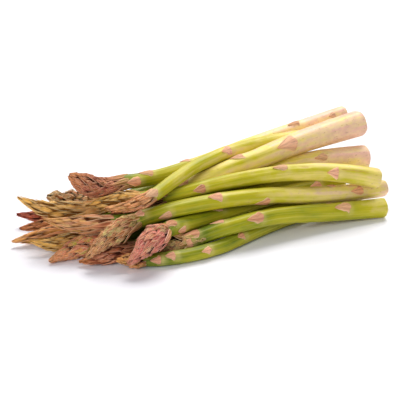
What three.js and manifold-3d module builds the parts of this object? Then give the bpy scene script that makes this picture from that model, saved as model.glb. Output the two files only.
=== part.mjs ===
// A bundle of cut asparagus spears, lying loose in a heap on a flat surface.
// Millimetres, +Z up. The spears lie along X, tips at -X and cut butts at +X. The origin is on the
// surface, under the middle of the bundle. Each spear is two solids: its stem, with the bracts that
// grow from it, and its head, a core covered in overlapping scales.
import * as THREE from 'three';
import { mergeVertices } from 'three/addons/utils/BufferGeometryUtils.js';
import Module from 'manifold-3d';

const wasm = await Module();
wasm.setup();

// Stems and their bracts.
const stemSides = 8;
const stemRingGap = 26; // from one ring of a stem's facets to the next
const stemTaper = 1.6; // power of the taper: most of it is near the butt
const bractGap = 42; // from one bract to the next on a spear that lies out of sight
const bractLength = 1.3; // in stem widths
const bractHalfWrap = 0.78; // radians of stem on each side of a bract's middle
const bractRise = 0.17; // from the stem to a bract's crest, in stem radii
const bractRoot = 0.4; // how deep a bract's root is sunk, in stem radii
const goldenTurn = 137.5; // degrees, from one bract or scale round to the next

// Heads and their scales.
const headSides = 6;
const headRings = 3;
const tipRadius = 0.7;
const widestShare = 0.7; // power that brings a head's widest part towards its neck
const noseShare = 0.75; // power that rounds a head's nose
const scalesPerHead = 12;
const firstScaleLength = 0.36; // in head lengths, beside the neck
const lastScaleLength = 0.2; // the same, at the tip
const scaleHalfWrap = 0.85;
const scaleRoot = 2.2;
const scaleRise = 0.9; // from the head's core to its scales

// Bracts and scales.
const scaleSides = 4;
const pointRise = 0.3; // how far a bract's or scale's point stands off

// How the heap lies.
const pieceGap = 0.3; // between a stem and its head, and between spears
const skinRoom = 0.5; // kept round each spear for its bracts
const flatDepth = 0.35; // how far the surface flattens the spears that lie on it
const lineStep = 8; // between the points of a spear's line as the heap settles

const looks = {
  green: { color: 0x9fa83a, roughness: 0.5, metalness: 0 },
  lime: { color: 0xb9b04a, roughness: 0.5, metalness: 0 },
  pale: { color: 0xd9c48c, roughness: 0.52, metalness: 0 },
  rose: { color: 0xb97c66, roughness: 0.7, metalness: 0 },
  russet: { color: 0x9c6550, roughness: 0.7, metalness: 0 },
  olive: { color: 0xb0945a, roughness: 0.7, metalness: 0 },
};

// The spears. Widths of the cut butt and of the neck under the head, the head's length and how far it
// swells, and the two colours. The bracts are pairs: how far along the spear, and the bearing in
// degrees from straight up, less than nothing on the near side. A spear that lies out of sight has
// only the bearing of its first bract. The line is the one that the spear is laid along, from butt to
// tip, measured from the front butt. The heap then settles from these lines.
const spears = [
  // The front of the heap, from the surface up.
  { butt: 12.5, neck: 10.5, head: 31, swell: 0.4, stem: 'green', tip: 'russet',
    bracts: [[30, -60], [72, 40], [112, -65], [147, -100], [176, -60], [182, -115]],
    line: [[-8, 28, 7], [-50, 22, 7], [-105, 8, 7], [-148, -7, 6], [-185, -9, 6], [-213, -3, 8],
      [-225, -4, 11]] },
  { butt: 15, neck: 12, head: 34, swell: 0.45, stem: 'green', tip: 'rose',
    bracts: [[34, -50], [68, 110], [106, -70], [140, -15], [160, -60]],
    line: [[1, 0, 9], [-50, 1, 14], [-89, 0, 19], [-124, -2, 18], [-160, 2, 13], [-182, 6, 12],
      [-200, 8, 10]] },
  { butt: 12.5, neck: 11.5, head: 42, swell: 0.8, stem: 'green', tip: 'rose',
    bracts: [[24, -60], [60, 60], [92, -60], [116, -15], [150, -115], [160, 30]],
    line: [[-20, 34, 20], [-60, 32, 22], [-99, 24, 22], [-150, 16, 18], [-186, 2, 22], [-205, -12, 17],
      [-221, -15, 8]] },
  { butt: 13.5, neck: 12, head: 48, swell: 0.5, stem: 'green', tip: 'olive',
    bracts: [[26, -70], [60, 110], [108, -120], [150, -50], [182, -100], [194, -10]],
    line: [[11, 18, 15.5], [-32, 11, 21], [-68, 8, 27], [-101, 10, 32], [-165, 15, 31], [-200, 14, 29],
      [-225, 9, 21], [-243, 6, 10]] },
  { butt: 13.5, neck: 10.5, head: 42, swell: 0.4, stem: 'lime', tip: 'russet',
    bracts: [[40, -60], [82, -10], [120, 120], [150, -65]],
    line: [[-1, 9, 28], [-32, 12, 37.5], [-64, 17, 41.5], [-112, 22, 41], [-160, 25, 35], [-214, 31, 26]] },
  // The top of the heap.
  { butt: 17.5, neck: 11.5, head: 44, swell: 0.4, stem: 'pale', tip: 'russet',
    bracts: [[42, -55], [84, 90], [130, 0]],
    line: [[5, 38, 36], [-36, 38, 40], [-70, 40, 38], [-136, 43, 28], [-180, 44, 24], [-222, 50, 20]] },
  { butt: 20, neck: 11, head: 42, swell: 0.35, stem: 'pale', tip: 'olive',
    bracts: [[26, 100], [58, -60], [100, -25], [132, 110], [154, -30]],
    line: [[6, 51, 60.5], [-51, 44, 56], [-87, 39, 51], [-122, 36, 47], [-155, 36, 37], [-180, 37, 34],
      [-230, 42, 35]] },
  { butt: 12, neck: 10.5, head: 40, swell: 0.3, stem: 'lime', tip: 'rose',
    bracts: [[34, 60], [98, -70], [130, 80], [174, -60]],
    line: [[-13, 66, 48], [-78, 58, 52], [-117, 47, 53], [-158, 29, 50], [-186, 14, 45], [-208, 9, 43],
      [-226, 10, 45]] },
  { butt: 12, neck: 11, head: 44, swell: 0.5, stem: 'lime', tip: 'russet',
    bracts: [[22, -20], [58, -20], [98, 100], [150, -10], [184, -20], [192, -80]],
    line: [[8, 80, 58], [-53, 73, 52], [-92, 65, 49], [-130, 57, 45], [-165, 51, 43], [-200, 48, 45],
      [-236, 56, 55]] },
  // The surface layer behind the front spears.
  { butt: 14, neck: 11.5, head: 46, swell: 0.4, turn: 0, stem: 'green', tip: 'russet',
    line: [[-20, 42, 8], [-86, 36, 8], [-162, 26, 8], [-204, 11, 8], [-228, 8, 7], [-246, 13, 5]] },
  { butt: 14, neck: 11.5, head: 50, swell: 0.5, turn: 90, stem: 'green', tip: 'rose',
    line: [[-45, 54, 8], [-100, 46, 8], [-150, 38, 8], [-200, 33, 8], [-242, 31, 9], [-265, 26, 5]] },
  { butt: 13, neck: 10.5, head: 44, swell: 0.4, turn: 180, stem: 'green', tip: 'olive',
    line: [[-50, 66, 7], [-150, 51, 7], [-240, 45, 7], [-258, 42, 8], [-272, 46, 13]] },
  { butt: 14.5, neck: 12, head: 55, swell: 0.35, turn: 240, stem: 'green', tip: 'russet',
    line: [[-52, 79, 8], [-150, 65, 8], [-225, 55, 8], [-255, 55, 8], [-281, 59, 6]] },
  { butt: 13.5, neck: 11, head: 46, swell: 0.4, turn: 10, stem: 'green', tip: 'rose',
    line: [[-45, 92, 8], [-150, 80, 8], [-225, 74, 8], [-250, 74, 9], [-270, 77, 9]] },
  { butt: 13, neck: 10.5, head: 44, swell: 0.4, turn: 220, stem: 'green', tip: 'russet',
    line: [[-42, 106, 7], [-150, 94, 7], [-225, 89, 8], [-250, 91, 10], [-266, 95, 13]] },
  // The layer between.
  { butt: 15, neck: 12, head: 52, swell: 0.45, turn: 70, stem: 'green', tip: 'rose',
    line: [[-35, 48, 21], [-90, 44, 21], [-150, 36, 21], [-200, 31, 22], [-237, 33, 23], [-263, 44, 28]] },
  { butt: 13, neck: 11, head: 42, swell: 0.65, turn: 150, stem: 'green', tip: 'olive',
    line: [[-25, 66, 21], [-90, 64, 21], [-150, 62, 21], [-200, 64, 23], [-228, 75, 28], [-246, 82, 31]] },
  { butt: 13.5, neck: 11, head: 52, swell: 0.4, turn: 330, stem: 'lime', tip: 'olive',
    line: [[-50, 68, 35], [-90, 64, 35], [-150, 56, 32], [-200, 49, 25], [-239, 50, 25], [-263, 58, 32],
      [-274, 62, 40]] },
];

// Radius of a stem, of a head over its scales, and of a whole spear, at a distance from the butt.
function stemRadius(spear, along) {
  const left = Math.max(0, 1 - along / (spear.length - spear.head));
  return THREE.MathUtils.lerp(spear.neck, spear.butt, left ** stemTaper) / 2;
}

function headRadius(spear, share) {
  const swell = 1 + spear.swell * Math.sin(Math.PI * share ** widestShare);
  return tipRadius + (spear.neck / 2 - tipRadius) * swell * (1 - share * share) ** noseShare;
}

function spearRadius(spear, along) {
  const share = (along - spear.length + spear.head) / spear.head;
  return share > 0 ? headRadius(spear, Math.min(share, 1)) : stemRadius(spear, along);
}

// Splits a spear's line into even steps, and notes how much room it takes at each point.
function layOut(spear) {
  spear.curve = new THREE.CatmullRomCurve3(spear.line.map((point) => new THREE.Vector3(...point)));
  spear.length = spear.curve.getLength();
  const steps = Math.round(spear.length / lineStep);
  spear.points = spear.curve.getSpacedPoints(steps);
  spear.laid = spear.points.map((point) => point.clone());
  spear.radii = spear.points.map((_, i) => spearRadius(spear, (i / steps) * spear.length));
}

// Moves two spears apart wherever a point of one is too close to a stretch of the other.
function pushApart(one, other) {
  const nearest = new THREE.Vector3();
  const stretch = new THREE.Line3();
  const apart = new THREE.Vector3();
  one.points.forEach((point, i) => {
    for (let j = 0; j + 1 < other.points.length; j++) {
      stretch.set(other.points[j], other.points[j + 1]);
      const share = stretch.closestPointToPointParameter(point, true);
      stretch.at(share, nearest);
      const radii = one.radii[i] + THREE.MathUtils.lerp(other.radii[j], other.radii[j + 1], share);
      const short = radii + 2 * skinRoom + pieceGap - point.distanceTo(nearest);
      if (short > 0) {
        apart.subVectors(point, nearest).setLength(short / 2);
        point.add(apart);
        other.points[j].addScaledVector(apart, share - 1);
        other.points[j + 1].addScaledVector(apart, -share);
      }
    }
  });
}

// Evens out how far neighbouring points have moved, as a springy stem does.
function stiffen(spear, share) {
  const moved = spear.points.map((point, i) => point.clone().sub(spear.laid[i]));
  const last = moved.length - 1;
  spear.points.forEach((point, i) => {
    const even = moved[Math.max(0, i - 1)].clone().lerp(moved[Math.min(last, i + 1)], 0.5);
    point.addScaledVector(even.sub(moved[i]), share);
  });
}

// Lets the heap settle: the spears sag, press on each other and on the surface, and come to rest.
function settle() {
  const rounds = 420;
  const firstSag = 0.05;
  const pullBack = 0.012; // towards the line that the spear was laid along, sideways only
  const stiffPasses = 6;
  const flatRadius = Math.cos(Math.PI / stemSides); // to the middle of a facet, in stem radii
  for (let round = 0; round < rounds; round++) {
    const left = 1 - round / rounds;
    for (const { points, laid } of spears) {
      points.forEach((point, i) => {
        point.x += (laid[i].x - point.x) * pullBack * left;
        point.y += (laid[i].y - point.y) * pullBack * left;
        point.z -= firstSag * left * left;
      });
    }
    spears.forEach((one, i) => spears.slice(i + 1).forEach((other) => {
      pushApart(one, other);
      pushApart(other, one);
    }));
    for (const spear of spears) {
      for (let pass = 0; pass < stiffPasses; pass++) stiffen(spear, 0.5 * left);
      spear.points.forEach((point, i) => {
        point.z = Math.max(point.z, spear.radii[i] * flatRadius - flatDepth);
      });
    }
  }
  for (const spear of spears) {
    spear.curve = new THREE.CatmullRomCurve3(spear.points);
    spear.length = spear.curve.getLength();
  }
}

// A spear's section at a distance from its butt: its middle, and the ways sideways and up across it.
function sectionAt(spear, along) {
  const share = THREE.MathUtils.clamp(along / spear.length, 0, 1);
  const middle = spear.curve.getPointAt(share);
  const ahead = spear.curve.getTangentAt(share);
  const side = new THREE.Vector3().crossVectors(ahead, new THREE.Vector3(0, 0, 1)).normalize();
  const up = new THREE.Vector3().crossVectors(side, ahead);
  return { middle, side, up };
}

function toSolid(geometry) {
  const bare = geometry.clone().deleteAttribute('normal').deleteAttribute('uv');
  const merged = mergeVertices(bare);
  return new wasm.Manifold(new wasm.Mesh({
    numProp: 3,
    vertProperties: merged.getAttribute('position').array,
    triVerts: Uint32Array.from(merged.index.array),
  }));
}

// Bends a shape made straight along Y onto a spear's line, as a solid.
function bentSolid(geometry, spear) {
  const positions = geometry.getAttribute('position');
  for (let i = 0; i < positions.count; i++) {
    const { middle, side, up } = sectionAt(spear, positions.getY(i));
    middle.addScaledVector(side, positions.getX(i)).addScaledVector(up, positions.getZ(i));
    positions.setXYZ(i, middle.x, middle.y, middle.z);
  }
  return toSolid(geometry);
}

function toGeometry(solid) {
  const mesh = solid.getMesh();
  const geometry = new THREE.BufferGeometry();
  geometry.setAttribute('position', new THREE.BufferAttribute(mesh.vertProperties, 3));
  geometry.setIndex(new THREE.BufferAttribute(mesh.triVerts, 1));
  geometry.computeVertexNormals();
  return geometry;
}

// A turned stretch of a spear, with flat ends and a flat facet facing down.
function turnedBody(spear, { start, end, rings, sides, radiusAt }) {
  const profile = [new THREE.Vector2(0, start)];
  for (let i = 0; i <= rings; i++) {
    const along = THREE.MathUtils.lerp(start, end, i / rings);
    profile.push(new THREE.Vector2(radiusAt(along), along));
  }
  profile.push(new THREE.Vector2(0, end));
  return bentSolid(new THREE.LatheGeometry(profile, sides, Math.PI / sides), spear);
}

// A pointed scale, wrapped round its spear: a flattened cone whose root is sunk in the spear and whose
// point stands off it. Its bearing is in degrees from straight up.
function scaleOn(spear, { along, bearing, length, halfWrap, root, rise }) {
  const cone = new THREE.ConeGeometry(1, 1, scaleSides);
  cone.translate(0, 0.5, 0);
  const positions = cone.getAttribute('position');
  for (let i = 0; i < positions.count; i++) {
    const share = positions.getY(i);
    const turn = THREE.MathUtils.degToRad(bearing) + positions.getX(i) * halfWrap;
    const outward = positions.getZ(i);
    const height = outward * (outward > 0 ? rise : root) + share * pointRise;
    const radius = spearRadius(spear, along + share * length) + height;
    positions.setXYZ(i, radius * Math.sin(turn), along + share * length, radius * Math.cos(turn));
  }
  return bentSolid(cone, spear);
}

// Where a spear's bracts are: as listed, or at even gaps, each the golden turn round from the last.
function bractsOf(spear, end) {
  if (spear.bracts) return spear.bracts;
  const count = Math.floor(end / bractGap - 0.5);
  return Array.from({ length: count }, (_, i) => [(i + 0.5) * bractGap, spear.turn + i * goldenTurn]);
}

function makeStem(spear) {
  const end = spear.length - spear.head - pieceGap / 2;
  const body = turnedBody(spear, {
    start: 0,
    end,
    rings: Math.round(end / stemRingGap),
    sides: stemSides,
    radiusAt: (along) => stemRadius(spear, along),
  });
  const bracts = bractsOf(spear, end).map(([along, bearing]) => {
    const radius = stemRadius(spear, along);
    return scaleOn(spear, {
      along,
      bearing,
      length: bractLength * 2 * radius,
      halfWrap: bractHalfWrap,
      root: bractRoot * radius,
      rise: bractRise * radius,
    });
  });
  return wasm.Manifold.union([body, ...bracts]);
}

function makeHead(spear) {
  const start = spear.length - spear.head + pieceGap / 2;
  const core = turnedBody(spear, {
    start,
    end: spear.length,
    rings: headRings,
    sides: headSides,
    radiusAt: (along) => spearRadius(spear, along) - scaleRise * (spear.length - along) / spear.head,
  });
  const foot = start + 0.5;
  const lastTip = spear.length - 1.5;
  const scales = Array.from({ length: scalesPerHead }, (_, i) => {
    const share = i / scalesPerHead;
    const length = spear.head * THREE.MathUtils.lerp(firstScaleLength, lastScaleLength, share);
    return scaleOn(spear, {
      along: THREE.MathUtils.lerp(foot, lastTip - length, share),
      bearing: i * goldenTurn,
      length,
      halfWrap: scaleHalfWrap,
      root: scaleRoot,
      rise: 0.1,
    });
  });
  return wasm.Manifold.union([core, ...scales]);
}

// Everything below the surface, which flattens the spears that lie on it.
function belowSurface() {
  const [width, depth] = [1000, 20];
  return toSolid(new THREE.BoxGeometry(width, width, depth).translate(0, 0, -depth / 2));
}

spears.forEach(layOut);
settle();

const bundle = new THREE.Group();
const below = belowSurface();
spears.forEach((spear, i) => {
  const pieces = [['stem', makeStem(spear), looks[spear.stem]], ['head', makeHead(spear), looks[spear.tip]]];
  for (const [piece, solid, look] of pieces) {
    const geometry = toGeometry(solid.subtract(below));
    const mesh = new THREE.Mesh(geometry, new THREE.MeshStandardMaterial(look));
    mesh.name = `spear_${String(i + 1).padStart(2, '0')}_${piece}`;
    bundle.add(mesh);
  }
});

const middle = new THREE.Box3().setFromObject(bundle, true).getCenter(new THREE.Vector3());
bundle.position.set(-middle.x, -middle.y, 0);

export default bundle;
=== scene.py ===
import bpy
import math
import random
import numpy as np
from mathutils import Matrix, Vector, noise


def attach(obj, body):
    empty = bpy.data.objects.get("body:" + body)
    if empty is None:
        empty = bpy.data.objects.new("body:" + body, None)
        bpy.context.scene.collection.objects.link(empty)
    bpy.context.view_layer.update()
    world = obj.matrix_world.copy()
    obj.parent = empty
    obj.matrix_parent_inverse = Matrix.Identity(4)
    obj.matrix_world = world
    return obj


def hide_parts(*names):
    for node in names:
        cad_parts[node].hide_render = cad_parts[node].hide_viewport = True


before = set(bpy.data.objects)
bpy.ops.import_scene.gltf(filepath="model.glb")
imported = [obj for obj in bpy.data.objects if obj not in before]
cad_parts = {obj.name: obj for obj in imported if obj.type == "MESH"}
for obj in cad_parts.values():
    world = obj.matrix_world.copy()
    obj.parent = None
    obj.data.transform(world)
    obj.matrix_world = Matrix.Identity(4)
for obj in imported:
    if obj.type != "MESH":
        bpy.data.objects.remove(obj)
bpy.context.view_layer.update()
mm = 0.001

# butt and neck: how wide the stem is at its two ends. head: how long the head is. swell: how much fatter
# it gets than the neck. taper, widest and nose: as in girth, on a spear that differs.
# ripe: how green it is at its butt and at its tip, from 0 for pale pink to 1 for green. ripening: as the
# power in greening, on a spear that differs.
# bracts: how far along each one is, its bearing and, where it isn't 1, its size.
# turn: the bearing of the first bract on a spear that lists none.
# look: the colors of the head, from scaleLooks. style: the kind of scales on it, from headStyles.
# open: how far its buds have spread, from 0 for closed. below: how far down the neck its scales begin.
# sag: how far the middle of the head hangs below its solid.
# clusters: at what share of the head it bulges, and by how much.
# cracks: how far along a dry crack in the stem begins and ends, and its bearing.
# buds: how far along each extra side shoot of the head is, its bearing and its length.
spears = [
    # the front of the heap, from the surface up
    {"butt": 12.5, "neck": 10.5, "head": 25, "swell": .2, "ripe": (.62, 1), "look": "amber", "below": 0,
     "bracts": [(30, -60, .7), (72, 40, .8), (119, -40, .8), (152, -55, .7), (179, -42, .9),
                (190, -72, .85)]},
    {"butt": 15, "neck": 12, "head": 34, "swell": .6, "ripe": (.5, .96), "look": "tan", "style": "opening",
     "open": 1.4, "below": 10,
     "bracts": [(35, -38, .85), (68, 110), (110, -48), (138, 20, .9), (160, -8, 1.1), (166, -75, .9)],
     "buds": [(153, -86, 8), (158, -80, 8), (162, -88, 8), (165, -66, 8), (172, -80, 9), (176, -50, 9),
              (182, -70, 9)]},
    {"butt": 12.5, "neck": 11.5, "head": 42, "swell": .8, "ripe": (.56, .8), "look": "mauve",
     "style": "opening", "open": 1.5,
     "bracts": [(24, -60), (60, 60), (113, -8, .8), (153, -100, .8), (162, -20)],
     "buds": [(172, -12, 10), (178, 6, 9), (174, -36, 9), (184, -14, 9), (168, -28, 8)]},
    {"butt": 13.5, "neck": 12, "head": 48, "swell": .5, "ripe": (.11, .9), "look": "tan", "style": "opening",
     "open": 1.5,
     "bracts": [(28, -59, .8), (50, 10, .7), (110, -122), (147, -24), (190, -95, .8), (209, -14, .8),
                (219, -65, .8)],
     "buds": [(217, -5, 8), (213, -24, 8), (219, 14, 8), (221, -28, 8), (231, -32, 8), (227, -50, 9),
              (216, -62, 9)]},
    {"butt": 16, "neck": 10.5, "head": 42, "swell": .4, "ripe": (.27, .74), "look": "russet",
     "bracts": [(37, -70, .9), (79, -14, .8), (120, 120), (145, -70, .9)],
     "cracks": [(12, 34, -46), (10, 22, 70), (60, 66, -30)]},
    # the top of the heap
    {"butt": 19.4, "neck": 11.5, "taper": .9, "head": 44, "swell": .4, "ripe": (0, .72), "look": "russet",
     "bracts": [(40, -48, .5), (84, 90), (130, 0)]},
    {"butt": 20.5, "neck": 11, "taper": 1.1, "head": 42, "swell": .75, "ripe": (.02, .68), "ripening": 1,
     "look": "straw", "style": "streaky", "below": 7,
     "bracts": [(26, 100), (67, -45, 1.05), (109, 12), (132, 110), (159, -5)],
     "cracks": [(24, 30, -92), (46, 51, -58)]},
    {"butt": 12, "neck": 9.8, "head": 42, "swell": .1, "ripe": (.26, .6), "look": "rose",
     "bracts": [(34, 60, .8), (99, -38, 1.15), (130, 80), (183, -28, 1.1)]},
    {"butt": 12, "neck": 11, "head": 44, "swell": .9, "ripe": (.02, 1.08), "ripening": 1.5, "look": "plum",
     "style": "folded", "open": .7, "widest": 1.9, "nose": .42, "below": 8, "sag": 5.5,
     "bracts": [(12, -50, .7), (46, -10, .8), (98, 100), (149, 25), (185, -5), (197, -75)]},
    # the surface layer behind the front spears
    {"butt": 14, "neck": 11.5, "head": 46, "swell": .4, "ripe": (.5, 1.1), "look": "plum", "turn": 0},
    {"butt": 14, "neck": 11.5, "head": 50, "swell": .8, "ripe": (.5, 1.1), "look": "salmon", "turn": 90,
     "style": "opening", "open": 1.1, "buds": [(190, 0, 10), (196, -15, 10), (185, -30, 11)]},
    {"butt": 13, "neck": 10.5, "head": 44, "swell": .4, "ripe": (.5, 1.1), "look": "straw", "turn": 180,
     "style": "streaky"},
    {"butt": 14.5, "neck": 12, "head": 55, "swell": .35, "ripe": (.5, 1.1), "look": "amber", "turn": 240,
     "style": "long"},
    {"butt": 13.5, "neck": 11, "head": 46, "swell": .4, "ripe": (.5, 1.1), "look": "russet", "turn": 10},
    {"butt": 13, "neck": 10.5, "head": 44, "swell": .4, "ripe": (.5, 1.1), "look": "wine", "turn": 220},
    # the layer between
    {"butt": 15, "neck": 12, "head": 52, "swell": .45, "ripe": (.5, 1.1), "look": "peach", "turn": 70,
     "style": "sheath"},
    {"butt": 13, "neck": 11, "head": 42, "swell": .6, "ripe": (.5, 1.1), "look": "dusky", "turn": 150,
     "style": "curly", "open": .45, "nose": .45, "below": 5,
     "clusters": ((.84, 2), (.7, -.8), (.57, 1.4), (.43, -.9), (.28, 1.6))},
    {"butt": 13.5, "neck": 12, "head": 52, "swell": .45, "ripe": (.5, 1.1), "look": "straw", "turn": 330,
     "below": 24, "style": "streaky"},
]
bractGap = 42  # from one bract to the next on a spear that lists none
goldenTurn = 137.5  # degrees, from one bract or scale round to the next
smoothBelow = 50  # degrees between faces, above which an edge stays sharp
seeds = {"ridges": 0, "bracts": 50, "head": 100}  # each spear's number is added


# ---- camera, light and floor

studio = {
    "azimuth": -24, "elevation": 25, "distance": 1400, "lens": 163.8, "sensor": 36, "aim": (2.1, 3.2, 16.2),
    # place, size, watts and color of each soft light
    "lights": {
        "topLight": ((1080, 1440, 2450), 2400, 106, (1, .985, .955)),
        "frontLight": ((-1250, -1000, 1000), 900, 14, (1, .98, .97)),
    },
    "room": ((.94, .93, 1), .285),  # color and strength of the light from all round
    "paper": (.945, .95, 1), "paperRoughness": .8, "floorSize": 6000, "floorDrop": .15,
}


def makeCamera(aim):
    azimuth, elevation = math.radians(studio["azimuth"]), math.radians(studio["elevation"])
    flat = math.cos(elevation)
    back = Vector((math.sin(azimuth) * flat, -math.cos(azimuth) * flat, math.sin(elevation)))
    bpy.ops.object.camera_add(location=aim + back * studio["distance"] * mm)
    camera = bpy.context.object
    camera.rotation_euler = (-back).to_track_quat("-Z", "Y").to_euler()
    camera.data.sensor_width = studio["sensor"]
    camera.data.lens = studio["lens"]
    bpy.context.scene.camera = camera


def makeLight(name, aim, place, size, watts, color):
    bpy.ops.object.light_add(type="AREA", location=Vector(place) * mm)
    light = bpy.context.object
    light.name = name
    light.rotation_euler = (aim - light.location).to_track_quat("-Z", "Y").to_euler()
    light.data.shape = "DISK"
    light.data.size = size * mm
    light.data.energy = watts
    light.data.color = color


def makeStudio():
    aim = Vector(studio["aim"]) * mm
    makeCamera(aim)
    for name, (place, size, watts, color) in studio["lights"].items():
        makeLight(name, aim, place, size, watts, color)
    world = bpy.data.worlds.new("paleRoom")
    world.use_nodes = True
    color, strength = studio["room"]
    background = world.node_tree.nodes["Background"]
    background.inputs["Color"].default_value = (*color, 1)
    background.inputs["Strength"].default_value = strength
    bpy.context.scene.world = world
    bpy.context.scene.view_settings.view_transform = "Standard"
    place = (0, 0, -studio["floorDrop"] * mm)
    bpy.ops.mesh.primitive_plane_add(size=studio["floorSize"] * mm, location=place)
    floor = bpy.context.object
    floor.name = "floor"
    paper, shader = newFinish("palePaper")
    feed(paper, shader, {"Base Color": (*studio["paper"], 1), "Roughness": studio["paperRoughness"]})
    floor.data.materials.append(paper)
    print("camera, lights and floor are set")


# ---- small helpers


def pick(*pieces):
    bpy.ops.object.select_all(action="DESELECT")
    for piece in pieces:
        piece.select_set(True)
    bpy.context.view_layer.objects.active = pieces[0]


def editFaces(piece, wanted):
    # goes into edit mode with the faces that answer to wanted selected
    pick(piece)
    bpy.context.tool_settings.mesh_select_mode = (False, False, True)
    mesh = piece.data
    for part in (*mesh.vertices, *mesh.edges):
        part.select = False
    for face in mesh.polygons:
        face.select = wanted(face)
    bpy.ops.object.mode_set(mode="EDIT")


def joinAll(pieces, name):
    pick(*pieces)
    bpy.ops.object.join()
    pieces[0].name = pieces[0].data.name = name
    return pieces[0]


def copyOf(master, name):
    copy = master.copy()
    copy.data = master.data.copy()
    copy.name = name
    bpy.context.collection.objects.link(copy)
    return copy


def getPlaces(mesh):
    places = np.empty(len(mesh.vertices) * 3)
    mesh.vertices.foreach_get("co", places)
    return places.reshape(-1, 3)


def setPlaces(mesh, places):
    mesh.vertices.foreach_set("co", np.asarray(places, float).ravel())
    mesh.update()


def roundPlaces(along, bearing, radius):
    # points round a straight spear, in metres: bearing 0 is up, and more than 0 is the far side
    return np.stack([along, -radius * np.sin(bearing), radius * np.cos(bearing)], axis=1) * mm


def getNotes(mesh, name):
    values = np.empty(len(mesh.vertices) * 3, np.float32)
    mesh.attributes[name].data.foreach_get("vector", values)
    return values.reshape(-1, 3)


def setNotes(mesh, name, values, kind="FLOAT_VECTOR"):
    notes = mesh.attributes.get(name) or mesh.attributes.new(name, kind, "POINT")
    field = "vector" if kind == "FLOAT_VECTOR" else "value"
    notes.data.foreach_set(field, np.asarray(values, np.float32).ravel())


def blend(low, high, share):
    return low + (high - low) * share


def waves(x, y, z, seed):
    # soft noise at each place, about -1 to 1
    shift = Vector((seed * 3.7, seed * 1.3, seed * 2.9))
    return np.array([noise.noise(Vector(place) + shift) for place in zip(x, y, z)])


# ---- where each spear lies, read from the solids

reading = {"step": 6, "clearOfButt": 5, "clearOfTip": 3, "endDepth": .6, "knotGap": 10, "sagLean": 1.1}


def facesOf(node):
    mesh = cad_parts[node].data
    mesh.calc_loop_triangles()
    corners = np.array([triangle.vertices for triangle in mesh.loop_triangles])
    return getPlaces(mesh)[corners] / mm


def crossingMiddle(faces, x):
    # middle of the section that the plane at x cuts out of a closed solid
    ahead = faces[:, :, 0] - x
    leaving, entering = np.zeros((2, len(faces), 3))
    crossed = np.zeros(len(faces), bool)
    for start, end in ((0, 1), (1, 2), (2, 0)):
        before, after = ahead[:, start], ahead[:, end]
        share = before / np.where(before == after, 1, before - after)
        point = blend(faces[:, start], faces[:, end], share[:, None])
        out, back = (before > 0) & (after <= 0), (before <= 0) & (after > 0)
        leaving[out], entering[back] = point[out], point[back]
        crossed |= out
    first, last = leaving[crossed][:, 1:], entering[crossed][:, 1:]
    turn = first[:, 0] * last[:, 1] - first[:, 1] * last[:, 0]
    y, z = ((first + last) * turn[:, None]).sum(0) / (3 * turn.sum())
    return Vector((x, y, z))


def endMiddle(faces, outward):
    # middle of the end of a solid that reaches furthest outward
    corners = faces.reshape(-1, 3)
    reach = corners @ np.array(outward)
    furthest = np.unique(corners[reach > reach.max() - reading["endDepth"]].round(2), axis=0)
    return Vector(furthest.mean(0))


def readPoints(number):
    stem = facesOf(f"spear_{number:02d}_stem")
    head = facesOf(f"spear_{number:02d}_head")
    both = np.concatenate([stem, head])
    high = stem[:, :, 0].max() - reading["clearOfButt"]
    low = head[:, :, 0].min() + reading["clearOfTip"]
    count = int((high - low) / reading["step"])
    points = [crossingMiddle(both, x) for x in np.linspace(high, low, count)]
    inner = [(before + point * 2 + after) / 4 for before, point, after in zip(points, points[1:], points[2:])]
    points = [points[0], *inner, points[-1]]
    butt = endMiddle(stem, (points[0] - points[2]).normalized())
    tip = endMiddle(head, (points[-1] - points[-3]).normalized())
    return [butt, *points, tip]


def makeLine(spear, points):
    steps = [(after - point).length for point, after in zip(points, points[1:])]
    along = np.concatenate([[0], np.cumsum(steps)])
    inHead = np.clip((along - along[-1] + spear["head"]) / spear["head"], 0, 1)
    for point, share in zip(points, inHead):
        point.z -= spear.get("sag", 0) * math.sin(math.pi * share ** reading["sagLean"])
    stops = np.linspace(0, along[-1], int(along[-1] / reading["knotGap"]))
    curve = bpy.data.curves.new("line", "CURVE")
    curve.dimensions = "3D"
    curve.twist_mode = "Z_UP"
    spline = curve.splines.new("BEZIER")
    spline.bezier_points.add(len(stops) - 1)
    for knot, stop in zip(spline.bezier_points, stops):
        knot.co = [np.interp(stop, along, [point[axis] for point in points]) * mm for axis in range(3)]
        knot.handle_left_type = knot.handle_right_type = "AUTO"
    spear["line"] = bpy.data.objects.new("line", curve)
    bpy.context.collection.objects.link(spear["line"])
    spear["length"] = spline.calc_length() / mm


def bend(piece, spear):
    bending = piece.modifiers.new("bending", "CURVE")
    bending.object = spear["line"]
    pick(piece)
    bpy.ops.object.modifier_apply(modifier="bending")
    places = getPlaces(piece.data)
    places[:, 2] = places[:, 2].clip(0)  # the surface flattens what lies on it
    setPlaces(piece.data, places)


# ---- how thick a spear is at a distance from its butt

# taper: how soon a stem narrows. tip: radius of the end of a head. widest: less than 1 where a head is
# fattest near its neck, and more than 1 where it is fattest near its tip. nose: less is blunter.
girth = {"taper": 1.6, "tip": .7, "widest": .7, "nose": .75}


def stemRadius(spear, along):
    left = np.clip(1 - along / (spear["length"] - spear["head"]), 0, 1)
    return blend(spear["neck"], spear["butt"], left ** spear.get("taper", girth["taper"])) / 2


def headRadius(spear, share):
    widest, nose = spear.get("widest", girth["widest"]), spear.get("nose", girth["nose"])
    swell = 1 + spear["swell"] * np.sin(math.pi * share ** widest)
    return girth["tip"] + (spear["neck"] / 2 - girth["tip"]) * swell * (1 - share ** 2) ** nose


def pastNeck(spear, along):
    return along - spear["length"] + spear["head"]


def spearRadius(spear, along):
    share = pastNeck(spear, along) / spear["head"]
    return np.where(share > 0, headRadius(spear, np.clip(share, 0, 1)), stemRadius(spear, along))


# ---- finishes


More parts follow.
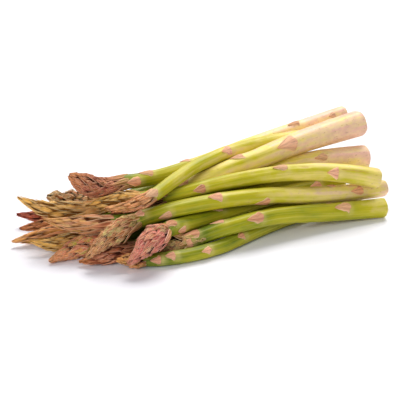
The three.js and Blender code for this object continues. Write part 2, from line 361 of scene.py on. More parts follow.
def newFinish(name):
    finish = bpy.data.materials.new(name)
    finish.use_nodes = True
    return finish, finish.node_tree.nodes["Principled BSDF"]


def feed(finish, node, inputs):
    # sets each input, or links it where it is given another node's output
    for key, value in inputs.items():
        if isinstance(value, bpy.types.NodeSocket):
            finish.node_tree.links.new(value, node.inputs[key])
        else:
            node.inputs[key].default_value = value


def addNode(finish, kind, inputs, output=0, **settings):
    node = finish.node_tree.nodes.new("ShaderNode" + kind)
    for key, value in settings.items():
        setattr(node, key, value)
    feed(finish, node, inputs)
    return node.outputs[output]


def addNotes(finish, name, output="Vector"):
    return addNode(finish, "Attribute", {}, output, attribute_name=name)


def addNoise(finish, places, scale, detail):
    stretched = addNode(finish, "Mapping", {"Vector": places, "Scale": scale})
    return addNode(finish, "TexNoise", {"Vector": stretched, "Scale": 1, "Detail": detail}, "Fac")


def addRange(finish, value, fromLow, fromHigh, toLow, toHigh):
    limits = {"From Min": fromLow, "From Max": fromHigh, "To Min": toLow, "To Max": toHigh}
    return addNode(finish, "MapRange", {"Value": value, **limits})


def addMath(finish, operation, first, second):
    return addNode(finish, "Math", {0: first, 1: second}, operation=operation)


def addMix(finish, amount, first, second):
    pair = [value if isinstance(value, bpy.types.NodeSocket) else (*value, 1) for value in (first, second)]
    inputs = {"Factor": amount, "A": pair[0], "B": pair[1]}
    return addNode(finish, "Mix", inputs, "Result", data_type="RGBA")


def addRamp(finish, value, stops):
    output = addNode(finish, "ValToRGB", {"Fac": value}, "Color")
    ramp = output.node.color_ramp
    while len(ramp.elements) < len(stops):
        ramp.elements.new(1)
    for element, (place, color) in zip(ramp.elements, stops):
        element.position = place
        element.color = (*color, 1)
    return output


def addShade(finish, color, shade):
    return addNode(finish, "VectorMath", {0: color, "Scale": shade}, operation="SCALE")


def addBump(finish, height, strength, depth):
    return addNode(finish, "Bump", {"Height": height, "Strength": strength, "Distance": depth * mm})


# In the finishes, a noise is how fine it is along and across the spear, and its detail. A range is the low
# and high values read from something, and the low and high values that they turn into.
stemFinish = {
    "ripeColors": [(0, (.97, .60, .46)), (.14, (.96, .69, .41)), (.3, (.87, .71, .19)),
                   (.55, (.56, .50, .014)), (.8, (.34, .35, .008)), (1, (.14, .20, .008))],
    "paleLine": (.86, .80, .18), "scuff": (.42, .20, .07), "crack": (.48, .17, .05),
    "nodeRing": (.88, .72, .26),
    "noises": {"blotches": ((30, 120, 120), 3), "bands": ((9, 320, 320), 2), "fibres": ((14, 900, 900), 3),
               "mottle": ((170, 200, 200), 3), "specks": ((420, 700, 700), 1)},
    "ripeRanges": {"blotches": (.3, .7, -.14, .14), "bands": (.3, .7, -.12, .12),
                   "mottle": (.3, .7, -.07, .07)},
    "fewerSpecks": (.1, .5, 0, .07), "paleLines": (.5, .75, 0, .34), "scuffs": (.64, .72, 0, .34),
    "crackFibres": (.4, .58, 0, 1), "cracks": (.3, .7, 0, .7), "shades": (.3, .7, .9, 1.08), "bump": (.3, .3),
    "surface": {"Roughness": .42, "Specular IOR Level": .26, "Subsurface Weight": .05,
                "Subsurface Radius": (.004, .003, .001), "Subsurface Scale": 1},
}


def makeStemFinish():
    finish, shader = newFinish("stemSkin")
    straight = addNotes(finish, "straight")
    noises = {name: addNoise(finish, straight, *noise) for name, noise in stemFinish["noises"].items()}
    ripe = addNotes(finish, "ripe", "Fac")
    fewer = addRange(finish, ripe, *stemFinish["fewerSpecks"])
    specks = addMath(finish, "SUBTRACT", noises["specks"], fewer)
    for name, limits in stemFinish["ripeRanges"].items():
        ripe = addMath(finish, "ADD", ripe, addRange(finish, noises[name], *limits))
    color = addRamp(finish, ripe, stemFinish["ripeColors"])
    fibres = noises["fibres"]
    color = addMix(finish, addRange(finish, fibres, *stemFinish["paleLines"]), color, stemFinish["paleLine"])
    color = addMix(finish, addRange(finish, specks, *stemFinish["scuffs"]), color, stemFinish["scuff"])
    color = addMix(finish, addNotes(finish, "ring", "Fac"), color, stemFinish["nodeRing"])
    rough = addRange(finish, fibres, *stemFinish["crackFibres"])
    crack = addMath(finish, "MULTIPLY", addNotes(finish, "crack", "Fac"), rough)
    color = addMix(finish, addRange(finish, crack, *stemFinish["cracks"]), color, stemFinish["crack"])
    color = addShade(finish, color, addRange(finish, noises["mottle"], *stemFinish["shades"]))
    normal = addBump(finish, fibres, *stemFinish["bump"])
    feed(finish, shader, {"Base Color": color, "Normal": normal, **stemFinish["surface"]})
    return finish


cutFinish = {
    "flesh": (.94, .80, .42), "strand": (.56, .46, .16), "rim": (.50, .50, .10), "dry": (.62, .42, .20),
    "strands": 950, "dryness": ((160, 160, 160), 3),
    "fleshRange": (.12, .3, 0, 1), "dryRange": (.5, .75, 0, .6), "rimRange": (.8, .97, 0, .8),
    "bump": (.5, .3),
    "surface": {"Roughness": .6, "Specular IOR Level": .2},
}


def makeCutFinish():
    finish, shader = newFinish("cutButt")
    straight = addNotes(finish, "straight")
    strands = addNode(finish, "TexVoronoi", {"Vector": straight, "Scale": cutFinish["strands"]}, "Distance")
    flesh = addRange(finish, strands, *cutFinish["fleshRange"])
    color = addMix(finish, flesh, cutFinish["strand"], cutFinish["flesh"])
    dryness = addNoise(finish, straight, *cutFinish["dryness"])
    color = addMix(finish, addRange(finish, dryness, *cutFinish["dryRange"]), color, cutFinish["dry"])
    inward = addNotes(finish, "inward", "Fac")
    color = addMix(finish, addRange(finish, inward, *cutFinish["rimRange"]), color, cutFinish["rim"])
    normal = addBump(finish, strands, *cutFinish["bump"])
    feed(finish, shader, {"Base Color": color, "Normal": normal, **cutFinish["surface"]})
    return finish


# colors of the scales of a head or the bracts of a stem: the painted shade in the gaps, body, tip, pale (the
# painted highlight on pleat crests and raised parts, and the real papery margin), bud, and what the whole
# head turns to at its neck and at its tip
scaleLooks = {
    "rose": [(.09, .022, .007), (.95, .33, .18), (.96, .37, .13), (1, .64, .36), (.90, .42, .14),
             (.80, .44, .12), (.94, .38, .11)],
    "salmon": [(.09, .018, .005), (.97, .30, .16), (.98, .38, .13), (1, .66, .40), (.80, .62, .08),
               (.88, .46, .11), (.97, .38, .12)],
    "mauve": [(.08, .010, .008), (.90, .22, .17), (.90, .28, .14), (1, .58, .42), (.90, .54, .26),
              (.66, .40, .07), (.86, .26, .16)],
    "russet": [(.04, .009, .002), (.48, .12, .05), (.57, .165, .04), (.88, .44, .24), (.54, .20, .06),
               (.50, .26, .05), (.66, .19, .06)],
    "wine": [(.04, .004, .002), (.40, .055, .03), (.48, .09, .035), (.86, .34, .24), (.50, .11, .045),
             (.54, .24, .05), (.48, .05, .03)],
    "straw": [(.24, .10, .018), (1, .58, .19), (1, .60, .15), (1, .82, .45), (.96, .53, .13),
              (.88, .42, .14), (.97, .46, .05)],
    "tan": [(.05, .022, .004), (.82, .29, .13), (.84, .33, .10), (1, .68, .38), (.82, .66, .20),
            (.50, .40, .05), (.84, .30, .09)],
    "plum": [(.09, .022, .010), (.55, .145, .09), (.70, .22, .07), (1, .55, .34), (.62, .18, .08),
             (.44, .34, .07), (.94, .34, .07)],
    "amber": [(.10, .026, .006), (.92, .33, .15), (.95, .40, .13), (1, .68, .40), (.90, .45, .11),
              (.72, .42, .08), (.97, .42, .10)],
    "peach": [(.09, .024, .006), (.72, .27, .13), (.80, .33, .10), (.98, .64, .38), (.80, .42, .13),
              (.70, .26, .13), (.94, .42, .07)],
    "dusky": [(.022, .010, .002), (.62, .30, .11), (.60, .15, .06), (1, .84, .52), (.66, .34, .12),
              (.36, .30, .04), (.86, .50, .17)],
    "bract": [(.84, .52, .20), (.93, .46, .29), (.86, .36, .17), (.97, .66, .36), (.92, .49, .26),
              (.98, .62, .40), (.90, .40, .25)],
}
# how strongly each one's streaks, and the painted highlight and shade on its pleats, show, where it isn't 1
contrasts = {"bract": .55, "straw": .5, "amber": .65, "peach": .75, "rose": .8, "salmon": .85, "tan": 1.15,
             "dusky": 1.2}
scaleFinish = {
    "pleats": 8, "pleatShift": 20, "streaks": ((5, 1.2, 37), 3), "grain": ((15, 4, 91), 2),
    "budFrom": .8,  # the chance above which a piece is a bud
    "mixChance": 5.3, "shadeChance": 9.7,  # each draws a new chance from the first one
    "toTipShift": (.3, .7, -.12, .12), "tipColored": (.55, .9, 0, .7), "neckColored": (.18, .06, 0, .4),
    "tip": (.6, 1, 0, 1), "neck": (.22, -.05, 0, .7), "crown": (.7, 1, 0, .7), "proudHighlight": (.4, 1.6, 0, .4),
    "gapShade": (-1.15, -.2, 1, 0), "margin": (.72, .95, 0, .9), "shades": (0, 1, .84, 1.1),
    # where in each texture it turns pale or dark, and by how much: on the pleats, painted highlight on the
    # crests and painted shade in the valleys
    "pale": {"pleatShading": (.1, 1, .4), "streaks": (.5, .66, .65)},
    "dark": {"pleatShading": (-1, 0, .3), "streaks": (.3, .44, .65), "grain": (.32, .48, .45)},
    "grainBump": .5, "bump": (.7, .5),
    "surface": {"Roughness": .6, "Specular IOR Level": .07, "Subsurface Weight": .04,
                "Subsurface Radius": (.003, .0015, .001), "Subsurface Scale": 1},
}


def drawAgain(finish, chance, times):
    return addMath(finish, "FRACT", addMath(finish, "MULTIPLY", chance, times), 0)


def makeScaleFinish(name, contrast):
    gapShade, body, tip, pale, bud, neck, crown = scaleLooks[name]
    look = scaleFinish
    finish, shader = newFinish(name + "Scale")
    leaf = addNotes(finish, "leaf")
    parts = addNode(finish, "SeparateXYZ", {"Vector": leaf}).node.outputs
    across, share, chance = parts["X"], parts["Y"], parts["Z"]
    turned = addMath(finish, "MULTIPLY", chance, look["pleatShift"])
    turned = addMath(finish, "ADD", turned, addMath(finish, "MULTIPLY", across, look["pleats"]))
    streaks, grain = addNoise(finish, leaf, *look["streaks"]), addNoise(finish, leaf, *look["grain"])
    # the wave of the modelled pleats, which carries their painted highlight and painted shade
    textures = {"pleatShading": addMath(finish, "SINE", turned, 0), "streaks": streaks, "grain": grain}
    shift = addRange(finish, streaks, *look["toTipShift"])
    toTip = addMath(finish, "ADD", addNotes(finish, "toTip", "Fac"), shift)
    color = addMix(finish, addMath(finish, "GREATER_THAN", chance, look["budFrom"]), body, bud)
    mixed = drawAgain(finish, chance, look["mixChance"])
    color = addMix(finish, addRange(finish, mixed, *look["tipColored"]), color, tip)
    color = addMix(finish, addRange(finish, mixed, *look["neckColored"]), color, neck)
    color = addMix(finish, addRange(finish, share, *look["tip"]), color, tip)
    color = addMix(finish, addRange(finish, toTip, *look["neck"]), color, neck)
    color = addMix(finish, addRange(finish, toTip, *look["crown"]), color, crown)
    # painted highlight on the pleats' crests, and the streaks' own paler tone
    for texture, (low, high, most) in look["pale"].items():
        amount = addRange(finish, textures[texture], low, high, 0, most * contrast)
        color = addMix(finish, amount, color, pale)
    rise = addNotes(finish, "rise", "Fac")
    # painted highlight: paler where a scale or bud stands proud of the head's surface
    color = addMix(finish, addRange(finish, rise, *look["proudHighlight"]), color, pale)
    # painted shade: darker where a scale, bud or the core lies below the head's surface, in the gaps between
    # them
    color = addMix(finish, addRange(finish, rise, *look["gapShade"]), color, gapShade)
    edge = addMath(finish, "ABSOLUTE", across, 0)
    color = addMix(finish, addRange(finish, edge, *look["margin"]), color, pale)
    shade = addRange(finish, drawAgain(finish, chance, look["shadeChance"]), *look["shades"])
    # painted shade in the pleats' valleys, and the streaks' and grain's own darker tone
    for texture, (low, high, most) in look["dark"].items():
        darker = addRange(finish, textures[texture], low, high, 1 - most * contrast, 1)
        shade = addMath(finish, "MULTIPLY", shade, darker)
    color = addShade(finish, color, shade)
    height = addMath(finish, "ADD", streaks, addMath(finish, "MULTIPLY", grain, look["grainBump"]))
    normal = addBump(finish, height, *look["bump"])
    feed(finish, shader, {"Base Color": color, "Normal": normal, **look["surface"]})
    return finish


# ---- the shapes that repeat, modelled once

# sides and rings of each rod; columns, rows and thickness of each scale
masterSizes = {
    "stem": (40, 84), "core": (20, 14), "bud": (8, 4), "cutRings": (.94, .85, .7, .6),
    "bract": (10, 8, .045), "scale": (6, 4, .022), "smallScale": (4, 4, .12),
}


def makeRod(name, sides, rings):
    # a closed rod of radius 1 from x = 0 to x = 1, with rings along it
    bpy.ops.mesh.primitive_cylinder_add(vertices=sides, radius=1, depth=1, location=(.5, 0, 0),
                                        rotation=(0, math.pi / 2, 0))
    rod = bpy.context.object
    rod.name = name
    bpy.ops.object.transform_apply(location=True, rotation=True, scale=True)
    bpy.context.tool_settings.mesh_select_mode = (False, True, False)
    mesh = rod.data
    for part in (*mesh.vertices, *mesh.polygons):
        part.select = False
    for edge in mesh.edges:
        start, end = (mesh.vertices[i].co.x for i in edge.vertices)
        edge.select = abs(start - end) > .5
    bpy.ops.object.mode_set(mode="EDIT")
    bpy.ops.mesh.subdivide(number_cuts=rings)
    bpy.ops.object.mode_set(mode="OBJECT")
    return rod


def makeMasterStem():
    stem = makeRod("masterStem", *masterSizes["stem"])
    editFaces(stem, lambda face: face.normal.x < -.9)
    for size in masterSizes["cutRings"]:
        bpy.ops.mesh.extrude_region_move()
        bpy.ops.transform.resize(value=(1, size, size))
    bpy.ops.mesh.poke()
    bpy.ops.object.mode_set(mode="OBJECT")
    return stem


def bractOutline(share):
    # how wide a bract is at each share of its length
    return (.9 + .1 * np.clip(share / .15, 0, 1)) * (1 - share) ** .9


def scaleOutline(share):
    # the same for a scale, which is blunter
    return (.8 + .2 * np.clip(share / .25, 0, 1)) * (1 - share ** 1.35) * (1 - .18 * share)


def makeMasterScale(name, columns, rows, thickness, outline):
    # a thin pointed scale: X from its root at 0 to its tip at 1, Y across, Z out
    bpy.ops.mesh.primitive_grid_add(x_subdivisions=columns, y_subdivisions=rows, size=1)
    scale = bpy.context.object
    scale.name = name
    places = getPlaces(scale.data)
    share, across = places[:, 0] + .5, places[:, 1] * 2
    level = np.zeros(len(share))
    setNotes(scale.data, "leaf", np.stack([across, share, level], axis=1))
    setPlaces(scale.data, np.stack([share, across * outline(share), level], axis=1))
    editFaces(scale, lambda face: True)
    bpy.ops.mesh.remove_doubles(threshold=1e-4)
    bpy.ops.mesh.normals_make_consistent(inside=False)
    bpy.ops.object.mode_set(mode="OBJECT")
    if scale.data.polygons[0].normal.z < 0:
        scale.data.flip_normals()
    skin = scale.modifiers.new("skin", "SOLIDIFY")
    skin.thickness = thickness
    pick(scale)
    bpy.ops.object.modifier_apply(modifier="skin")
    return scale


def markChance(piece, chance):
    notes = getNotes(piece.data, "leaf")
    notes[:, 2] = chance
    setNotes(piece.data, "leaf", notes)


# ---- stems

greening = {"power": .75, "nearHead": 30, "greener": .16}  # a stem gets greener still near its head
stemShape = {
    "intoHead": .25,  # share of the head that the stem reaches into
    "narrowing": 2.4, "narrowingLength": 5,  # how much thinner it gets there
    "ridges": ((5, .022), (8, .012), (13, .006)), "ridgeTwist": .004,  # radians a millimetre
    "uneven": .022, "unevenLength": 40, "unevenRound": .6,
    "nodeSwell": .06, "nodeLength": 4, "ringBehind": 2, "ringLength": 2.6, "ringStrength": .5,
    "crackDepth": .35, "crackWidth": 1.5, "crackSharpness": 9, "crackEnds": 2,
    "rimWidth": .07, "rimDepth": .5, "hollow": .35, "lip": .96, "cutDepth": 2,
    "skinShift": 3.1,  # moves the texture on from one stem to the next
}


def ripeness(spear, along):
    share = np.clip(along / spear["length"], 0, 1) ** spear.get("ripening", greening["power"])
    nearHead = np.clip(pastNeck(spear, along) / greening["nearHead"] + 1, 0, 1)
    return blend(*spear["ripe"], share) + greening["greener"] * nearHead


def stemRidges(spear, along, bearing, y, z, number):
    # how much the radius of a stem is multiplied by, and how far into the pale ring of a bract each place is
    draw = random.Random(seeds["ridges"] + number)
    shape = stemShape
    slow = shape["unevenRound"]
    ridged = 1 + shape["uneven"] * waves(along / shape["unevenLength"], y * slow, z * slow, number)
    for count, depth in shape["ridges"]:
        twisted = bearing + along * shape["ridgeTwist"]
        ridged += depth * np.cos(count * twisted + draw.uniform(0, 2 * math.pi))
    ring = np.zeros(len(along))
    for place, turn, _ in spear["bracts"]:
        around = np.cos(bearing - math.radians(turn)).clip(0)
        ridged += shape["nodeSwell"] * around * np.exp(-((along - place) / shape["nodeLength"]) ** 2)
        behind = (along - place + shape["ringBehind"]) / shape["ringLength"]
        ring = np.maximum(ring, around ** 2 * np.exp(-behind ** 2))
    return ridged, ring


def stemCracks(spear, along, bearing):
    crack = np.zeros(len(along))
    for begin, end, turn in spear.get("cracks", ()):
        apart = (bearing - math.radians(turn) + math.pi) % (2 * math.pi) - math.pi
        ends = np.clip(np.minimum(along - begin, end - along) / stemShape["crackEnds"] + 1, 0, 1)
        width = np.clip(stemShape["crackWidth"] - abs(apart) * stemShape["crackSharpness"], 0, 1)
        crack = np.maximum(crack, ends * width)
    return crack


def shapeStem(spear, number):
    shape = stemShape
    stem = copyOf(masters["stem"], "stem")
    x, y, z = getPlaces(stem.data).T
    inward, bearing = np.hypot(y, z), np.arctan2(-y, z)
    along = x * (spear["length"] - spear["head"] * (1 - shape["intoHead"]))
    ridged, ring = stemRidges(spear, along, bearing, y, z, number)
    crack = stemCracks(spear, along, bearing)
    radius = stemRadius(spear, along) * ridged - shape["crackDepth"] * crack
    radius -= shape["narrowing"] * np.clip(pastNeck(spear, along) / shape["narrowingLength"], 0, 1)
    # the cut: a softened rim round a face that has dried a little hollow
    onButt = x < 1e-6
    rim = np.clip((inward - 1 + shape["rimWidth"]) / shape["rimWidth"], 0, 1)
    along = np.where(onButt, shape["rimDepth"] * rim + shape["hollow"] * (1 - inward ** 2), along)
    radius = np.where(onButt & (inward > .99), radius * shape["lip"], radius)
    places = roundPlaces(along, bearing, radius * inward)
    setPlaces(stem.data, places)
    setNotes(stem.data, "straight", places + number * shape["skinShift"])
    for name, values in {"ripe": ripeness(spear, along), "ring": ring * shape["ringStrength"],
                         "crack": crack, "inward": inward}.items():
        setNotes(stem.data, name, values, "FLOAT")
    stem.data.materials.append(finishes["stem"])
    stem.data.materials.append(finishes["cut"])
    for face in stem.data.polygons:
        onCut = face.normal.x < -.7 and face.center.x < shape["cutDepth"] * mm
        face.material_index = 1 if onCut else 0
    return stem


bractShape = {
    "length": .82, "lengths": (.85, 1.15), "halfWrap": .86, "rootRound": (0, .26),
    "ragged": .3, "raggedRoot": .4, "clear": .12, "overSkin": 1.01, "rise": .12, "ripple": .12, "tipLift": .5,
}


def placeBract(spear, place, turn, size, chance):
    shape = bractShape
    bract = copyOf(masters["bract"], "bract")
    bract.data.materials.append(finishes["bract"])
    markChance(bract, chance)
    x, y, z = getPlaces(bract.data).T
    across = getNotes(bract.data, "leaf")[:, 0]
    radius = float(stemRadius(spear, place))
    length = shape["length"] * 2 * radius * blend(*shape["lengths"], chance) * size
    rootRound = blend(*shape["rootRound"], chance)
    along = place + x * length - rootRound * length * (1 - across ** 2) * (1 - x)
    torn = waves(across * 2.5, x * 0, x * 0, chance * 70)
    along += shape["ragged"] * length * torn * (1 - x) * shape["raggedRoot"]
    swell = np.sin(math.pi * (x * .85 + .1) ** .6) * (1 - .8 * across ** 2)
    height = shape["clear"] + shape["rise"] * radius * swell + shape["tipLift"] * x ** 3 + z * radius
    height += shape["ripple"] * np.cos(across * 6 + chance * 6) * (1 - x)
    ragged = 1 + shape["ragged"] * waves(x * 4, across * .8, x * 0, chance * 50)
    bearing = math.radians(turn) - y * shape["halfWrap"] * size * ragged
    setPlaces(bract.data, roundPlaces(along, bearing, stemRadius(spear, along) * shape["overSkin"] + height))
    setNotes(bract.data, "toTip", np.full(len(x), ripeness(spear, place)), "FLOAT")
    return bract


def makeStem(spear, number):
    draw = random.Random(seeds["bracts"] + number)
    bracts = [placeBract(spear, *bract, draw.random()) for bract in spear["bracts"]]
    return joinAll([shapeStem(spear, number), *bracts], f"spear{number:02d}Stem")


# ---- heads

# how many scales, how long the first and last are as shares of the head, how far round they wrap in radians,
# how high their middles stand and how deep their edges lie. sunk, budWidth and tipLift: as in headShape, on
# a head that differs. allBuds: there is a bud at every scale.
headStyles = {
    "closed": {"scales": 38, "lengths": (.38, .18), "wrap": .54, "rise": .9, "edgeSunk": .5},
    "long": {"scales": 46, "lengths": (.44, .22), "wrap": .38, "rise": .8, "edgeSunk": .5},
    "sheath": {"scales": 34, "lengths": (.46, .24), "wrap": .6, "rise": .5, "edgeSunk": .35},
    "streaky": {"scales": 62, "lengths": (.36, .2), "wrap": .25, "rise": .6, "edgeSunk": .3},
    "curly": {"scales": 96, "lengths": (.18, .15), "wrap": .42, "rise": 1.1, "edgeSunk": .7, "sunk": 1.7,
              "budWidth": .3, "allBuds": True, "tipLift": -.2},
    "folded": {"scales": 40, "lengths": (.38, .2), "wrap": .56, "rise": 1, "edgeSunk": .45, "sunk": 1.7},
    "opening": {"scales": 32, "lengths": (.36, .18), "wrap": .58, "rise": 1, "edgeSunk": .5, "sunk": 1.8},
}
headShape = {
    # the head as a whole
    "open": .25, "below": 3, "sunk": 2.2, "neckSunk": .15, "lumps": 1.1, "lumpLength": 7, "lumpRound": 1.1,
    "clusterWidth": .075, "thinnest": .12,
    # where its scales are: sizes are even from evenFrom on
    "placeEase": .92, "placeJitter": 1.3, "turnJitter": 13, "sizes": (.8, 1.25), "evenFrom": .8,
    "lengthEase": .8, "liftJitter": .3, "tipGap": .2,
    # the relief of a scale
    "fadeFrom": 1.15, "curl": .45, "pleatDepth": .12, "crinkle": .45, "crinkleLength": 2.6, "tipLift": .5,
    "scaleEnd": .3,
    # buds and sprays
    "manyScales": 40, "budStart": .16, "budLiftJitter": .4, "budLift": .9, "budTurnJitter": 14,
    "budLength": (.95, 1.3), "budWidth": .14, "budSunk": 1.0, "shootEnd": .4, "shootRoom": .45,
    "sprayFrom": .5, "sprayLength": (.7, .95), "sprayWidth": .2, "sprayPlace": .5, "sprayTurn": 20,
    "sprayLift": .6, "extraLift": 1.5,
    # the scales that close the tip
    "caps": 4, "capLength": .27, "capWrap": 1.1, "capLift": .2, "capStep": .04, "capEnd": 1,
}
# the core: how far from the stem's skin it is over the neck, and where it comes out of the stem
coreShape = {"overNeck": .3, "skinnedFrom": 5, "begin": 3, "atLeast": 2, "sinkLength": 5, "end": .4,
             "thinnest": .25}


def makeMasterBud():
    # a closed side shoot, 1 long and 1 in radius, with blunt folds that turn round it
    bud = makeRod("masterBud", *masterSizes["bud"])
    x, y, z = getPlaces(bud.data).T
    bearing = np.arctan2(-y, z)
    fat = np.sin(math.pi * (.1 + .88 * x) ** .8) * (1 + .16 * np.cos(3 * bearing - 5 * x))
    setPlaces(bud.data, np.stack([x, y * fat, z * fat], axis=1))
    setNotes(bud.data, "leaf", np.stack([bearing / math.pi, .3 + .7 * x, x * 0], axis=1))
    return bud


# reach: how far along the bud the last scale begins
sprayShape = {"scales": 9, "reach": .55, "length": .45, "radius": 1.05, "tipLift": .35, "wrap": .9,
              "chanceStep": .37}


def makeMasterSpray():
    # a side shoot that has begun to open: a bud with small scales of its own
    shape = sprayShape
    core = copyOf(masters["bud"], "spray")
    pieces = [core]
    for i in range(shape["scales"]):
        scale = copyOf(masters["smallScale"], "scale")
        x, y, z = getPlaces(scale.data).T
        along = blend(0, shape["reach"], i / (shape["scales"] - 1)) + x * shape["length"]
        radius = shape["radius"] * np.sin(math.pi * (.1 + .86 * along) ** .8) + shape["tipLift"] * x + z
        bearing = math.radians(i * goldenTurn) - y * shape["wrap"]
        setPlaces(scale.data, np.stack([along, -radius * np.sin(bearing), radius * np.cos(bearing)], axis=1))
        markChance(scale, (i * shape["chanceStep"]) % 1)
        pieces.append(scale)
    return joinAll(pieces, "masterSpray")


def lumps(spear, along, bearing):
    # the slow unevenness of a head
    share = pastNeck(spear, along) / spear["head"]
    slow = headShape["lumpRound"]
    uneven = waves(along / headShape["lumpLength"], np.cos(bearing) * slow, np.sin(bearing) * slow,
                   spear["length"])
    rise = headShape["lumps"] * uneven * np.clip(share * 4, 0, 1) * np.clip(1.1 - share, 0, 1)
    for middle, height in spear.get("clusters", ()):
        rise += height * np.exp(-((share - middle) / headShape["clusterWidth"]) ** 2)
    return rise


def placeScale(spear, style, start, turn, length, chance, lift, wrap):
    shape = headShape
    scale = copyOf(masters["scale"], "scale")
    markChance(scale, chance * scaleFinish["budFrom"])
    x, y, z = getPlaces(scale.data).T
    across = getNotes(scale.data, "leaf")[:, 0]
    along = start + x * length
    share = pastNeck(spear, along) / spear["head"]
    room = np.clip(shape["fadeFrom"] - share, .1, 1)  # the relief fades towards the tip of the head
    relief = style["rise"] * (1 - across ** 2) * np.sin(math.pi * (.2 + x * .65))
    relief += shape["curl"] * across ** 6 - style["edgeSunk"] * across ** 2 * (1 - x * .5)
    relief += (style.get("tipLift", shape["tipLift"]) + lift) * x ** 2
    relief += shape["pleatDepth"] * np.sin(across * scaleFinish["pleats"] + chance * 16)
    crinkles = waves(along / shape["crinkleLength"], across * 1.4, x * 0, chance * 40)
    relief += shape["crinkle"] * crinkles * x ** .5
    # the lowest scales lie on the neck, and the others grow from within the head
    sunk = style.get("sunk", shape["sunk"]) * np.clip(shape["neckSunk"] + share * 5, shape["neckSunk"], 1)
    height = relief * room - sunk * (1 - x) ** 1.3
    # this height also sets the painted highlight and painted shade of the finish
    setNotes(scale.data, "rise", height, "FLOAT")
    bearing = math.radians(turn) - y * wrap
    radius = spearRadius(spear, along.clip(None, spear["length"] - shape["scaleEnd"])) + height + z * length
    radius += lumps(spear, along, bearing)
    setPlaces(scale.data, roundPlaces(along, bearing, radius.clip(shape["thinnest"])))
    return scale


def layShoot(spear, shoot, start, turn, length, width, lift):
    # lays a bud or spray of length 1 and radius 1 along the head
    shape = headShape
    x, y, z = getPlaces(shoot.data).T
    x = x.clip(0, 1)
    width = min(width, shape["shootRoom"] * float(spearRadius(spear, start + length / 2)))
    along = (start + x * length).clip(None, spear["length"] - shape["shootEnd"])
    rise = z * width - width * shape["budSunk"] + lift * x ** 1.5
    # this height also sets the painted highlight and painted shade of the finish
    setNotes(shoot.data, "rise", rise, "FLOAT")
    radius = spearRadius(spear, along) + rise
    bearing = math.radians(turn) - y * width * 1.15 / radius.clip(1)
    radius += lumps(spear, along, bearing)
    setPlaces(shoot.data, roundPlaces(along, bearing, radius.clip(shape["thinnest"])))
    return shoot


def placeBud(spear, style, start, turn, length, chance, lift):
    bud = copyOf(masters["bud"], "bud")
    markChance(bud, blend(scaleFinish["budFrom"], 1, chance))
    width = style.get("budWidth", headShape["budWidth"]) * length
    return layShoot(spear, bud, start, turn, length, width, lift)


def placeSpray(spear, start, turn, length, chance, lift):
    spray = copyOf(masters["spray"], "spray")
    notes = getNotes(spray.data, "leaf")
    notes[:, 2] = (notes[:, 2] + chance) % 1
    setNotes(spray.data, "leaf", notes)
    return layShoot(spear, spray, start, turn, length, headShape["sprayWidth"] * length, lift)


def shapeCore(spear, sunk):
    # deep inside the head, and a thin skin over the neck where the scales begin below the head
    shape = coreShape
    core = copyOf(masters["core"], "core")
    x, y, z = getPlaces(core.data).T
    start, below = spear["length"] - spear["head"], spear.get("below", 0)
    along = blend(start - max(below - shape["begin"], shape["atLeast"]), spear["length"] - shape["end"], x)
    depth = np.full(len(x), sunk)
    if below > shape["skinnedFrom"]:
        depth = blend(-shape["overNeck"], sunk, np.clip((along - start) / shape["sinkLength"], 0, 1))
        depth += shape["overNeck"] * 2.5 * np.clip(1 - x * 5, 0, 1)  # comes out of the stem little by little
    radius = (spearRadius(spear, along) + lumps(spear, along, x * 0) - depth).clip(shape["thinnest"])
    setPlaces(core.data, np.stack([along, y * radius, z * radius], axis=1) * mm)
    setNotes(core.data, "leaf", np.stack([y * .6, along * .05 % .5, x * 0 + .3], axis=1))
    # its depth gives the core the painted shade of the gaps
    setNotes(core.data, "rise", -depth, "FLOAT")
    return core


def placeShoot(spear, style, place, turn, length, draw):
    # the bud or spray that grows at a scale
    shape, spread = headShape, spear.get("open", headShape["open"])
    place += shape["budStart"] * length
    jitter = draw.uniform(-shape["budLiftJitter"], shape["budLiftJitter"])
    lift = jitter + shape["budLift"] * spread * draw.random()
    turn += draw.uniform(-shape["budTurnJitter"], shape["budTurnJitter"])
    if spread <= shape["sprayFrom"]:
        length *= draw.uniform(*shape["budLength"])
        return placeBud(spear, style, place, turn, length, draw.random(), lift)
    length *= draw.uniform(*shape["sprayLength"])
    place += length * shape["sprayPlace"]
    turn += shape["sprayTurn"]
    return placeSpray(spear, place, turn, length, draw.random(), lift + shape["sprayLift"])


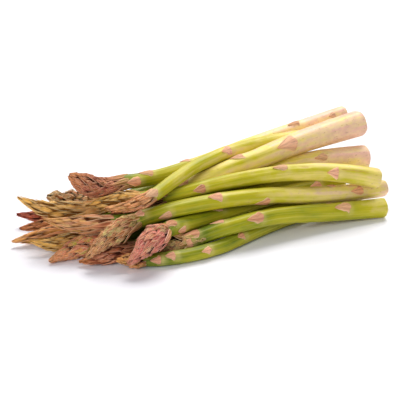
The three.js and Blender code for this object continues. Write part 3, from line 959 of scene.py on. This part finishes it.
def makeHead(spear, number):
    draw = random.Random(seeds["head"] + number)
    shape, spread = headShape, spear.get("open", headShape["open"])
    style = headStyles[spear.get("style", "closed")]
    start, count = spear["length"] - spear["head"], style["scales"]
    firstTurn = draw.uniform(0, 360)
    pieces = [shapeCore(spear, style.get("sunk", shape["sunk"]))]
    for i in range(count):
        share = i / (count - 1)
        size = draw.uniform(*shape["sizes"]) if share < shape["evenFrom"] else 1
        length = spear["head"] * blend(*style["lengths"], share ** shape["lengthEase"]) * size
        last = spear["length"] - shape["tipGap"] - length
        first = start - spear.get("below", shape["below"])
        jitter = draw.uniform(-1, 1) * shape["placeJitter"] * (1 - share)
        place = blend(first, last, share ** shape["placeEase"]) + jitter
        turn = firstTurn + i * goldenTurn + draw.uniform(-1, 1) * shape["turnJitter"]
        lift = draw.uniform(-shape["liftJitter"], shape["liftJitter"] + spread)
        wrap = style["wrap"] * draw.uniform(*shape["sizes"])
        pieces.append(placeScale(spear, style, place, turn, length, draw.random(), lift, wrap))
        # among many scales, every other one has a bud
        if i % 2 == 0 or count <= shape["manyScales"] or "allBuds" in style:
            pieces.append(placeShoot(spear, style, place, turn, length, draw))
    for place, turn, length in spear.get("buds", ()):
        spray = placeSpray(spear, place, turn, length, draw.random(), shape["extraLift"])
        markChance(spray, blend(scaleFinish["budFrom"] + .01, 1, draw.random()))
        pieces.append(spray)
    for i in range(shape["caps"]):
        length = spear["head"] * shape["capLength"]
        place = spear["length"] - shape["capEnd"] - length * (1 - shape["capStep"] * i)
        turn = firstTurn + i * goldenTurn
        pieces.append(placeScale(spear, style, place, turn, length, draw.random(), shape["capLift"],
                                 shape["capWrap"]))
    head = joinAll(pieces, f"spear{number:02d}Head")
    toTip = (getPlaces(head.data)[:, 0] / mm - start) / spear["head"]
    setNotes(head.data, "toTip", toTip, "FLOAT")
    head.data.materials.clear()
    head.data.materials.append(finishes[spear["look"]])
    return head


# ---- everything together

makeStudio()
for number, spear in enumerate(spears, 1):
    makeLine(spear, readPoints(number))
    if "bracts" not in spear:
        count = int((spear["length"] - spear["head"]) / bractGap - .5)
        spear["bracts"] = [((i + .5) * bractGap, spear["turn"] + i * goldenTurn) for i in range(count)]
    spear["bracts"] = [(*bract, 1)[:3] for bract in spear["bracts"]]
print("the spears' lines are read from the solids")

finishes = {name: makeScaleFinish(name, contrasts.get(name, 1)) for name in scaleLooks}
finishes["stem"] = makeStemFinish()
finishes["cut"] = makeCutFinish()
masters = {
    "stem": makeMasterStem(),
    "core": makeRod("masterCore", *masterSizes["core"]),
    "bract": makeMasterScale("masterBract", *masterSizes["bract"], bractOutline),
    "scale": makeMasterScale("masterScale", *masterSizes["scale"], scaleOutline),
    "smallScale": makeMasterScale("masterSmallScale", *masterSizes["smallScale"], scaleOutline),
    "bud": makeMasterBud(),
}
masters["spray"] = makeMasterSpray()
print("finishes and masters are made")

for number, spear in enumerate(spears, 1):
    pieces = {"stem": makeStem(spear, number), "head": makeHead(spear, number)}
    for part, piece in pieces.items():
        bend(piece, spear)
        bpy.ops.object.shade_smooth_by_angle(angle=math.radians(smoothBelow))
        node = f"spear_{number:02d}_{part}"
        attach(piece, "root")
        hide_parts(node)
    print("spear", number, "is", round(spear["length"]), "mm long")

for helper in (*masters.values(), *(spear["line"] for spear in spears)):
    bpy.data.objects.remove(helper)
print("all spears are made")
